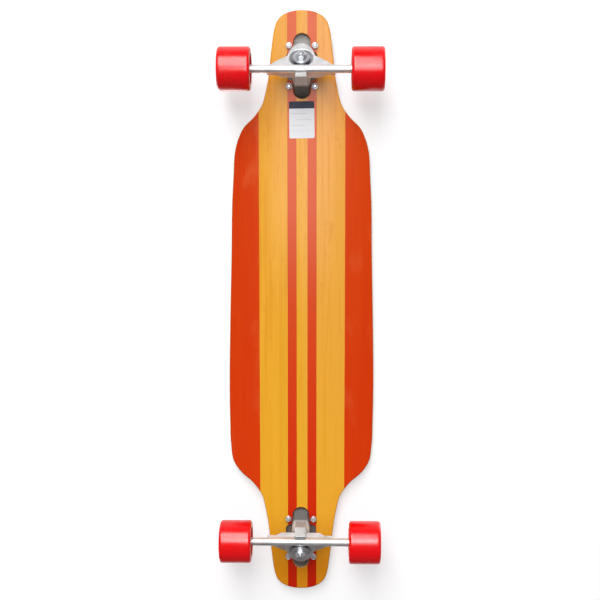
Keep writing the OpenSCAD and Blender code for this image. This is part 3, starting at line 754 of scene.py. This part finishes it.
def buildLabel():
    label = {"width": 41, "length": 59, "trimAcross": 0.5, "trimAlong": 0.4, "corner": 2.2, "thick": 0.2,
             "y": 299, "turn": -0.9}
    half = label["length"] / 2 - label["trimAlong"]
    shape = prism(roundedLoop(label["width"] - 2 * label["trimAcross"], -half, half, label["corner"], 0, 6),
                  0, label["thick"])
    sheetMap = shape.loops.layers.uv.new("UVMap")
    for face in shape.faces:
        for corner in face.loops:
            spot = corner.vert.co / mm
            corner[sheetMap].uv = (0.5 - spot.x / label["width"], 0.5 + spot.y / label["length"])
    at = Matrix.Translation((0, label["y"] * mm, (deck["bottom"] - label["thick"]) * mm))
    mesh = place(meshFrom("priceSticker", shape, finish["paper"]),
                 at @ Matrix.Rotation(math.radians(label["turn"]), 4, "Z"))
    piece("priceSticker", mesh, "deck_body", "paper", "price_label")


buildDeck()
buildGrip()
buildLabel()
print("deck, grip and label built")


# Trucks

def castFrom(name, node, voxel, passes, material):  # a cast part with soft edges, from the frame's solid
    source = joined(name, [cadNodes[node].data.copy()], recalculate=True)
    source.materials.clear()
    source.materials.append(material)
    thing = loose(name, source)
    skin = thing.modifiers.new("skin", "REMESH")
    skin.mode, skin.voxel_size = "VOXEL", voxel * mm
    soft = thing.modifiers.new("soft", "SMOOTH")
    soft.factor, soft.iterations = 0.5, passes
    return finished(thing)


def steering(end):
    return (ends[end] @ Matrix.Translation((0, truck["ringY"] * mm, truck["ringZ"] * mm))
            @ Matrix.Rotation(math.radians(truck["lean"]), 4, "X"))


def buildCastings(end):
    cast = {"voxel": 0.62, "platePasses": 3, "hangerPasses": 5, "sharpFrom": 60}
    plate = castFrom(end + "Plate", end + "_baseplate", cast["voxel"], cast["platePasses"], finish["plate"])
    piece(end + "Plate", plate, "deck_body", "cast_truck", end + "_baseplate", angle=cast["sharpFrom"])
    hanger = castFrom(end + "Hanger", end + "_hanger", cast["voxel"], cast["hangerPasses"], finish["cast"])
    piece(end + "Hanger", hanger, end + "_hanger_body", "cast_truck", end + "_hanger",
          angle=cast["sharpFrom"])


def buildPivotCup(end):
    cup = {"face": 27.5, "floor": 33.9, "end": 35.5, "bore": 5.0, "outer": 6.7}
    section = [(cup["bore"], cup["face"], 0.3), (cup["outer"], cup["face"], 0.4),
               (cup["outer"], cup["end"], 0.6), (0, cup["end"], 0), (0, cup["floor"], 0),
               (cup["bore"], cup["floor"], 1.5)]
    mesh = place(turnedPart(end + "Cup", section, finish["cup"], 48),
                 steering(end) @ Matrix.Rotation(math.pi / 2, 4, "X"))
    piece(end + "PivotCup", mesh, "deck_body", "black_urethane", end + "_pivot_cup")


def buildKingpin(end):
    pin = {"radius": 4.75, "low": -25.1, "point": 0.9, "head": 45.7, "intoHead": 0.5, "flats": 14.3,
           "headHigh": 6.5, "pitch": 1.06, "threadLong": 13, "threadSunk": 0.4, "threadFrom": 0.8}
    shank = turnedPart(end + "Shank", [
        (0, pin["low"], 0), (pin["radius"] - pin["point"], pin["low"], 0.3),
        (pin["radius"], pin["low"] + pin["point"], 0.2), (pin["radius"], pin["head"] + pin["intoHead"], 0),
        (0, pin["head"] + pin["intoHead"], 0)], finish["zinc"], 48, closed=False)
    ridge = thread(end + "KingpinThread", pin["radius"] - pin["threadSunk"], pin["threadLong"],
                   pin["pitch"], finish["zinc"], pin["low"] + pin["threadFrom"])
    head = hexPart(end + "KingpinHead", pin["flats"], pin["head"], pin["head"] + pin["headHigh"], 0,
                   finish["zinc"], 0.3)
    mesh = place(joined(end + "Kingpin", [shank, ridge, head]), steering(end))
    piece(end + "Kingpin", mesh, "deck_body", "zinc", end + "_kingpin")


def buildBushings(end):
    bushing = {"outer": 12.3, "waist": 11.4, "face": 11.1, "inner": 4.9, "chamfer": 1.8,
               "waistFrom": 0.36, "web": 2.5, "board": 16, "road": 10.5}
    for name, low, high in (("boardside", bushing["web"], bushing["web"] + bushing["board"]),
                            ("roadside", -bushing["web"] - bushing["road"], -bushing["web"])):
        toWaist, middle = (high - low) * bushing["waistFrom"], (low + high) / 2
        half = [(bushing["inner"], low, 0.4), (bushing["face"], low, 0.5),
                (bushing["outer"], low + bushing["chamfer"], 1.2), (bushing["waist"], low + toWaist, 2.0)]
        section = half + mirrored(half, middle)
        mesh = place(turnedPart(end + name, section, finish["bushing"], 64), steering(end))
        piece(end + name.capitalize() + "Bushing", mesh, "deck_body", "red_urethane",
              f"{end}_{name}_bushing")


def buildWashers(end):
    washer = {"inner": 4.95, "outer": 13.2, "rim": 12.5, "floor": 1.6, "high": 3.2, "boardside": 20.1,
              "roadside": -14.6}
    section = [(washer["inner"], 0, 0.2), (washer["outer"] - 0.3, 0, 0.9),
               (washer["outer"], washer["high"], 0.2), (washer["rim"], washer["high"], 0.2),
               (washer["rim"] - 0.1, washer["floor"], 0.5), (washer["inner"], washer["floor"], 0.2)]
    for name, flip in (("boardside", math.pi), ("roadside", 0)):
        at = Matrix.Translation((0, 0, washer[name] * mm)) @ Matrix.Rotation(flip, 4, "X")
        mesh = place(turnedPart(end + name + "Washer", section, finish["zinc"], 64), steering(end) @ at)
        piece(end + name.capitalize() + "Washer", mesh, "deck_body", "zinc", f"{end}_{name}_washer")


def lockNut(name, nut, material):  # the metal and its insert, whose collar is the low end
    collar = nut["collar"]
    low, seat = nut["low"], nut["low"] + collar["high"]
    reach = nut["flats"] / 2 - collar["step"]
    inside, bore = reach - collar["wall"], nut["hole"] + collar["insertGap"]
    body = hexPart(name, nut["flats"], seat, nut["high"], nut["hole"], material, collar["crown"])
    ring = turnedPart(name + "Collar", [
        (inside, low + collar["lead"], collar["leadRound"]), (reach - collar["lip"], low, 0.3),
        (reach, low + collar["lip"] + 0.2, collar["lipRound"]), (reach, seat + collar["sunk"], 0),
        (inside, seat + collar["sunk"], 0)], material, collar["segments"])
    edge, soft, sunk = reach - collar["insertWall"], collar["insertRound"], collar["sunk"] - 0.1
    insert = turnedPart(name + "Insert", [
        (bore, low + collar["lead"] + 0.25, soft), (edge, low + collar["insertLead"], soft),
        (edge, seat + sunk, 0), (bore, seat + sunk, 0)], finish["insert"], collar["segments"] - 8)
    return joined(name, [body, ring]), insert


bigCollar = {"high": 2.0, "step": 0.35, "wall": 1.1, "lead": 0.25, "leadRound": 0.15, "lip": 0.5,
             "lipRound": 0.5, "sunk": 0.4, "insertGap": 0.05, "insertWall": 0.8, "insertLead": 0.35,
             "insertRound": 0.2, "crown": 0.18, "segments": 48}
smallCollar = {"high": 1.5, "step": 0.45, "wall": 0.8, "lead": 0.15, "leadRound": 0.1, "lip": 0.4,
               "lipRound": 0.4, "sunk": 0.3, "insertGap": 0, "insertWall": 0.6, "insertLead": 0.3,
               "insertRound": 0.15, "crown": 0.15, "segments": 40}


def buildKingpinNut(end):
    nut = {"flats": 14.3, "low": -22.6, "high": -14.6, "hole": 4.8, "collar": bigCollar}
    mesh = joined(end + "KingpinNut", lockNut(end + "KingpinNut", nut, finish["zinc"]))
    piece(end + "KingpinNut", place(mesh, steering(end)), "deck_body", "zinc", end + "_kingpin_nut")


def buildBolts(end):
    bolt = {"radius": 2.4, "top": 105.5, "low": 81.0, "headRadius": 4.7, "sink": 2.3, "pitch": 0.8,
            "tip": 0.5, "tipLong": 0.6, "headEdge": 0.25, "threadLong": 12, "threadSunk": 0.3,
            "threadFrom": 0.5, "cross": 1.1, "crossReach": 2.5, "crossRound": 0.3, "crossDeep": 1.7,
            "turn": 1.4, "seed": 3}
    section = [(0, bolt["low"], 0), (bolt["radius"] - bolt["tip"], bolt["low"], 0.2),
               (bolt["radius"], bolt["low"] + bolt["tipLong"], 0.1),
               (bolt["radius"], bolt["top"] - bolt["sink"], 0),
               (bolt["headRadius"], bolt["top"] - bolt["headEdge"], 0.15),
               (bolt["headRadius"] - 0.1, bolt["top"], 0.1), (0, bolt["top"], 0)]
    shank = loose(end + "Shank", turnedPart(end + "BoltShank", section, finish["zinc"], 40, closed=False))
    arm = (bolt["cross"], -bolt["crossReach"], bolt["crossReach"], bolt["crossRound"])
    floor = bolt["top"] - bolt["crossDeep"] + cutterPast
    cutters = [openingCutter("crossCut", arm, floor, bolt["top"], 0, Matrix.Rotation(turn, 4, "Z"),
                             finish["zinc"], 3) for turn in (0, math.pi / 2)]
    ridge = thread(end + "BoltThread", bolt["radius"] - bolt["threadSunk"], bolt["threadLong"],
                   bolt["pitch"], finish["zinc"], bolt["low"] + bolt["threadFrom"])
    one = joined(end + "Bolt", [carve(shank, cutters), ridge])
    bolts = place(onPattern(end + "Bolts", one, finish["zinc"], bolt["turn"], bolt["seed"]), ends[end])
    piece(end + "MountingBolts", bolts, "deck_body", "zinc", end + "_mounting_bolts")


def buildBoltNuts(end):
    nut = {"flats": 9.5, "low": 82.5, "high": 88, "hole": 2.45, "collar": smallCollar, "turn": 1.0,
           "seed": 5}
    parts = [onPattern(end + "Nuts", part, material, nut["turn"], nut["seed"]) for part, material in
             zip(lockNut(end + "Nut", nut, finish["zinc"]), (finish["zinc"], finish["insert"]))]
    nuts = place(joined(end + "MountingNuts", parts), ends[end])
    piece(end + "MountingNuts", nuts, "deck_body", "zinc", end + "_mounting_nuts")


def onAxle(end, x):  # the axle's own frame: Z runs along the world's X
    y = (truck["patternY"] - truck["axleInset"]) * mm * (1 if end == "front" else -1)
    return Matrix.Translation((x * mm, y, truck["axleZ"] * mm)) @ Matrix.Rotation(math.pi / 2, 4, "Y")


def buildAxle(end):
    axle = {"radius": 4, "half": 124, "tip": 0.7, "tipLong": 0.8, "threadLong": 7.2, "threadSunk": 0.38,
            "threadFrom": 0.7, "pitch": 1.0}
    upper = [(axle["radius"], axle["half"] - axle["tipLong"], 0.2),
             (axle["radius"] - axle["tip"], axle["half"], 0.2), (0, axle["half"], 0)]
    rod = turnedPart(end + "Rod", mirrored(upper) + upper, finish["steel"], 48, closed=False)
    farEnd = axle["half"] - axle["threadFrom"]
    tips = [thread(end + "AxleThread", axle["radius"] - axle["threadSunk"], axle["threadLong"],
                   axle["pitch"], finish["steel"], start)
            for start in (-farEnd, farEnd - axle["threadLong"])]
    piece(end + "Axle", place(joined(end + "Axle", [rod, *tips]), onAxle(end, 0)), end + "_hanger_body",
          "steel", end + "_axle")


def buildAxleNuts(end):
    nut = {"flats": 13, "low": -122, "high": -116, "hole": 4.05, "collar": {**bigCollar, "high": 1.6}}
    nuts = [place(joined(end + "AxleNut", lockNut(end + "AxleNut", nut, finish["zinc"])),
                  onAxle(end, 0) @ Matrix.Rotation(flip, 4, "X")) for flip in (0, math.pi)]
    piece(end + "AxleNuts", joined(end + "AxleNuts", nuts), end + "_hanger_body", "zinc",
          end + "_axle_nuts")


def buildSpeedWashers(end):
    washer = {"inner": 4.05, "outer": 5.6, "thick": 1, "inside": 90, "outside": 115}
    washers = []
    for low in (washer["inside"], washer["outside"], -washer["inside"] - washer["thick"],
                -washer["outside"] - washer["thick"]):
        high = low + washer["thick"]
        section = [(washer["inner"], low, 0.1), (washer["outer"], low, 0.2), (washer["outer"], high, 0.2),
                   (washer["inner"], high, 0.1)]
        washers.append(place(turnedPart(end + "Washer", section, finish["zinc"], 48), onAxle(end, 0)))
    piece(end + "SpeedWashers", joined(end + "SpeedWashers", washers), end + "_hanger_body", "zinc",
          end + "_speed_washers")


for end in ends:
    for build in (buildCastings, buildPivotCup, buildKingpin, buildBushings, buildWashers,
                  buildKingpinNut, buildBolts, buildBoltNuts, buildAxle, buildAxleNuts, buildSpeedWashers):
        build(end)
    print(end, "truck built")


# Wheels

wheel = {"x": 103, "radius": 34, "half": 25.5, "lip": 4.5, "lipSteps": 9, "bore": 17, "coreHalf": 15,
         "seat": 11, "shoulder": 8.5, "segments": 112}
bearing = {"radius": 11, "bore": 4.02, "wide": 7, "from": 5, "outerEdge": 9.2, "innerEdge": 5.8,
           "groove": 0.25, "grooveFrom": 2.2, "ball": 2, "balls": 7, "ballRing": 7.5}


def tyreMesh(name):
    side = [(wheel["bore"], wheel["coreHalf"] - 0.4, 0.4), (19.5, 18, 1.5), (23.9, 23.8, 1.0),
            (25.4, wheel["half"], 0.7)]
    lip = [(wheel["radius"] - wheel["lip"] * (1 - math.sin(a)),
            wheel["half"] - wheel["lip"] * (1 - math.cos(a)), 0) for a in quarter(wheel["lipSteps"])]
    flat, bands = wheel["half"] - wheel["lip"], 6
    across = [(wheel["radius"], flat * (1 - k / bands), 0) for k in range(1, 2 * bands)]
    upper = side + lip
    return turnedPart(name, upper + across + mirrored(upper), finish["tyre"], wheel["segments"])


def coreMesh(name):
    core = {"seatHigh": 12.3, "channelFrom": 12.9, "channelTo": 15.9, "floor": 11.0}
    rib = {"count": 12, "ring": 14.4, "long": 3.2, "wide": 1.1, "edge": 0.25, "sunk": 1.3}
    upper = [(wheel["shoulder"], bearing["from"], 0.3), (wheel["seat"], bearing["from"], 0),
             (wheel["seat"], core["seatHigh"], 0.2), (wheel["seat"] + 0.9, wheel["coreHalf"] - 0.6, 0.4),
             (core["channelFrom"], wheel["coreHalf"] - 0.3, 0.3), (core["channelFrom"], core["floor"], 0.5),
             (core["channelTo"], core["floor"], 0.5), (core["channelTo"], wheel["coreHalf"] - 0.2, 0.3),
             (wheel["bore"], wheel["coreHalf"] - 0.5, 0.4)]
    body = turnedPart(name, upper + mirrored(upper), finish["core"], 80)
    shape = bmesh.new()
    bmesh.ops.create_cube(shape, size=1, matrix=Matrix.Diagonal(
        (rib["long"] * mm, rib["wide"] * mm, rib["long"] * mm, 1)))
    bmesh.ops.bevel(shape, geom=list(shape.edges), offset=rib["edge"] * mm, segments=2, affect="EDGES",
                    profile=0.5)
    ribMesh = meshFrom(name + "Rib", shape)
    ribs = [place(ringOf(name + "Ribs", ribMesh.copy(), rib["count"], rib["ring"], finish["core"]),
                  Matrix.Translation((0, 0, side * (core["floor"] + rib["sunk"]) * mm)))
            for side in (-1, 1)]
    return joined(name, [body, *ribs])


def bothSides(name, mesh):  # a bearing's part at each end of the wheel's core
    return joined(name, [place(mesh.copy(), Matrix.Rotation(flip, 4, "X")
                               @ Matrix.Translation((0, 0, bearing["from"] * mm)))
                         for flip in (0, math.pi)])


def bearingMeshes():
    middle = bearing["wide"] / 2
    edge, inner = bearing["outerEdge"], bearing["innerEdge"]
    outerHalf = [(edge + bearing["groove"], middle, 0.8), (edge, bearing["grooveFrom"], 0),
                 (edge, 0.3, 0.2), (edge + 0.3, 0, 0.2), (bearing["radius"], 0, 0.4)]
    innerHalf = [(bearing["bore"], 0, 0.3), (inner - 0.1, 0, 0.2), (inner, bearing["grooveFrom"], 0)]
    dish = [(9.15, 0.25, 0.1), (8.6, 0.25, 0.1), (8.2, 0.45, 0.1), (6.6, 0.45, 0.1), (6.0, 0.65, 0.1),
            (6.0, 0.4, 0.1), (6.5, 0.2, 0.1), (8.2, 0.2, 0.1), (8.7, 0.02, 0.1), (9.15, 0.02, 0.1)]
    ball = bmesh.new()
    bmesh.ops.create_icosphere(ball, subdivisions=2, radius=bearing["ball"] * mm)
    balls = ringOf("balls", meshFrom("ball", ball), bearing["balls"], bearing["ballRing"], finish["race"])
    return {"outer": turnedPart("outerRing", outerHalf + mirrored(outerHalf[1:], middle), finish["race"]),
            "balls": place(balls, Matrix.Translation((0, 0, middle * mm))),
            "shields": joined("shields", [turnedPart("shield", side, finish["shield"])
                                          for side in (dish, mirrored(dish, middle))]),
            "inner": turnedPart("innerRing", innerHalf + [(inner - bearing["groove"], middle, 0.8)]
                                + mirrored(innerHalf, middle), finish["race"], 48)}


def spacerMesh():
    spacer = {"bore": 4.05, "flange": 5.2, "body": 4.9, "half": 5, "flangeTo": 3, "bodyTo": 2.6}
    upper = [(spacer["body"], spacer["bodyTo"], 0.2), (spacer["flange"], spacer["flangeTo"], 0.3),
             (spacer["flange"], spacer["half"], 0.3), (spacer["bore"], spacer["half"], 0.2)]
    return turnedPart("spacer", mirrored(upper) + upper, finish["spacer"], 48)


def wheelSet():  # for each piece: its mesh, what it rides on, its slot, its node and its sharpest angle
    rings = {name: bothSides(name, mesh) for name, mesh in bearingMeshes().items()}
    return {"Tyre": (tyreMesh("tyre"), "wheel", "wheel_urethane", "tyre", 32),
            "Core": (coreMesh("core"), "wheel", "wheel_core", "wheel_core", 32),
            "OuterRings": (rings["outer"], "wheel", "bearing_steel", "bearing_outer_rings", 32),
            "Balls": (rings["balls"], "wheel", "bearing_steel", "bearing_balls", 180),
            "Shields": (rings["shields"], "wheel", "shield", "bearing_shields", 32),
            "InnerRings": (rings["inner"], "hanger", "bearing_steel", "bearing_inner_rings", 32),
            "Spacer": (spacerMesh(), "hanger", "spacer", "spacer", 32)}


wheelPieces = wheelSet()
for end in ends:
    for side, sign in (("left", -1), ("right", 1)):
        bodies = {"wheel": f"{end}_{side}_wheel", "hanger": f"{end}_hanger_body"}
        for label, (mesh, rides, slotName, node, sharpest) in wheelPieces.items():
            piece(end + side.capitalize() + label, place(mesh.copy(), onAxle(end, sign * wheel["x"])),
                  bodies[rides], slotName, f"{end}_{side}_{node}", angle=sharpest)
print("wheels built")


# Floor, light and camera

stage = {  # metres from the board's origin, and tones on a screen's scale
         "half": 6, "floorAt": -0.0004, "floorTone": (246, 246, 246), "floorGlow": 0.3,
         "backdropAt": 0.112, "backdropTone": (210, 210, 212), "backdropGlow": 0.47,
         "fadeFrom": 1.1, "fadeTo": 4.5, "mottle": 3}


def stageSheet(name, shownFrom):  # a pale sheet that only the camera sees, from one side
    shape = bmesh.new()
    bmesh.ops.create_grid(shape, x_segments=2, y_segments=2, size=stage["half"])
    mesh = place(meshFrom(name, shape), Matrix.Translation((0, 0, stage[name + "At"])))
    material, tree, shader = newMaterial(name, Roughness=0.8, Specular_IOR_Level=0.1,
                                         Emission_Color=(1, 1, 1, 1))
    shade = stage[name + "Tone"]
    wire(tree, shader, Base_Color=blendColour(tree, cloud(tree, (3, 3, 3), 2), tone(*shade),
                                              tone(*(c - stage["mottle"] for c in shade))))
    reach = add(tree, "ShaderNodeVectorMath", {0: objectPlace(tree)}, operation="LENGTH").outputs["Value"]
    fade = spread(tree, reach, stage["fadeFrom"], stage["fadeTo"], stage[name + "Glow"], 1)
    wire(tree, shader, Emission_Strength=fade)  # to white, far from the board
    away = add(tree, "ShaderNodeNewGeometry").outputs["Backfacing"]
    if shownFrom == "below":
        away = calc(tree, "SUBTRACT", 1, away)
    clear = add(tree, "ShaderNodeBsdfTransparent").outputs[0]
    mix = add(tree, "ShaderNodeMixShader", {0: away, 1: shader.outputs[0], 2: clear})
    tree.links.new(mix.outputs[0], [n for n in tree.nodes if n.type == "OUTPUT_MATERIAL"][0].inputs[0])
    mesh.materials.append(material)
    sheet = loose(name, mesh)
    sheet.visible_diffuse = sheet.visible_glossy = sheet.visible_transmission = False
    sheet.visible_shadow = False


def softLight(name, at, aim, size, power, onlyShine=False, underFloor=False):
    lamp = bpy.data.lights.new(name, "AREA")
    if underFloor:  # lights what is seen, but nothing that shines back on the floor
        lamp.use_nodes = True
        tree = lamp.node_tree
        glow = [n for n in tree.nodes if n.type == "EMISSION"][0]
        depth = add(tree, "ShaderNodeLightPath").outputs["Diffuse Depth"]
        tree.links.new(calc(tree, "LESS_THAN", depth, 0.5), glow.inputs["Strength"])
    lamp.shape, lamp.size, lamp.size_y = "RECTANGLE", size[0], size[1]
    lamp.energy = power
    thing = loose(name, lamp)
    thing.location = at
    thing.rotation_euler = (Vector(aim) - Vector(at)).to_track_quat("-Z", "Y").to_euler()
    thing.visible_camera, thing.visible_diffuse = False, not onlyShine


def buildRoom():  # what lights the shade and what metal mirrors: dark below and to the tail, white above
    room = {"fill": 0.32, "darkTone": 0.1, "darkTo": -0.15, "whiteFrom": 0.3, "tailFlag": 0.6}
    world = bpy.data.worlds.new("studio")
    bpy.context.scene.world = world
    world.use_nodes = True
    world.cycles.sampling_method = "NONE"
    tree = world.node_tree
    tree.nodes.clear()
    path = add(tree, "ShaderNodeLightPath").outputs
    towards = coordinates(tree, add(tree, "ShaderNodeTexCoord").outputs["Object"])
    flag = calc(tree, "MULTIPLY", calc(tree, "MINIMUM", towards[1], 0), room["tailFlag"])
    height = calc(tree, "ADD", towards[2], flag)
    mirror = spread(tree, height, room["darkTo"], room["whiteFrom"], room["darkTone"], 1)
    mirror = calc(tree, "MULTIPLY", path["Is Glossy Ray"], mirror)
    fill = calc(tree, "MULTIPLY", calc(tree, "SUBTRACT", 1, path["Is Glossy Ray"]), room["fill"])
    shown = calc(tree, "MAXIMUM", path["Is Camera Ray"], path["Is Transmission Ray"])
    strength = calc(tree, "MAXIMUM", shown, calc(tree, "MAXIMUM", mirror, fill))
    glow = add(tree, "ShaderNodeBackground", {0: (1, 1, 1, 1), 1: strength})
    add(tree, "ShaderNodeOutputWorld", {0: glow.outputs[0]})


def buildLamps():
    middle = (0, 0, 0.05)
    softLight("noseKey", at=(0.5, 2.9, -3.8), aim=middle, size=(2.0, 4.2), power=220, underFloor=True)
    softLight("noseSheen", at=(-0.05, 0.42, -1.9), aim=(0, 0.3, 0.09), size=(0.5, 0.9), power=11,
              onlyShine=True, underFloor=True)
    softLight("topKey", at=(0.9, -0.7, 1.9), aim=middle, size=(1.4, 1.4), power=20)
    softLight("topSide", at=(-1.4, 0.6, 1.1), aim=middle, size=(1.2, 1.2), power=11)


def buildCamera():
    shot = {  # lens and sensor in mm, place in metres, turns in degrees
            "lens": 66.4, "sensor": 36, "clip": 0.01, "at": (-0.0432, 0.1935, -1.6901), "tilt": 5.854,
            "yaw": 1.457, "roll": 0.11}
    tilt, yaw, roll = (math.radians(shot[key]) for key in ("tilt", "yaw", "roll"))
    forward = Vector((math.sin(yaw), -math.sin(tilt), math.cos(tilt) * math.cos(yaw))).normalized()
    right = forward.cross(Vector((0, 1, 0))).normalized()
    up = right.cross(forward)
    sideways = right * math.cos(roll) + up * math.sin(roll)
    upward = up * math.cos(roll) - right * math.sin(roll)
    data = bpy.data.cameras.new("studioCamera")
    data.lens, data.sensor_width, data.clip_start = shot["lens"], shot["sensor"], shot["clip"]
    camera = loose("studioCamera", data)
    axes = Matrix((sideways, upward, -forward)).transposed().to_4x4()
    camera.matrix_world = Matrix.Translation(shot["at"]) @ axes
    bpy.context.scene.camera = camera


stageSheet("floor", "above")
stageSheet("backdrop", "below")
buildRoom()
buildLamps()
buildCamera()
bpy.context.scene.view_settings.view_transform = "Standard"
print("stage, light and camera set")
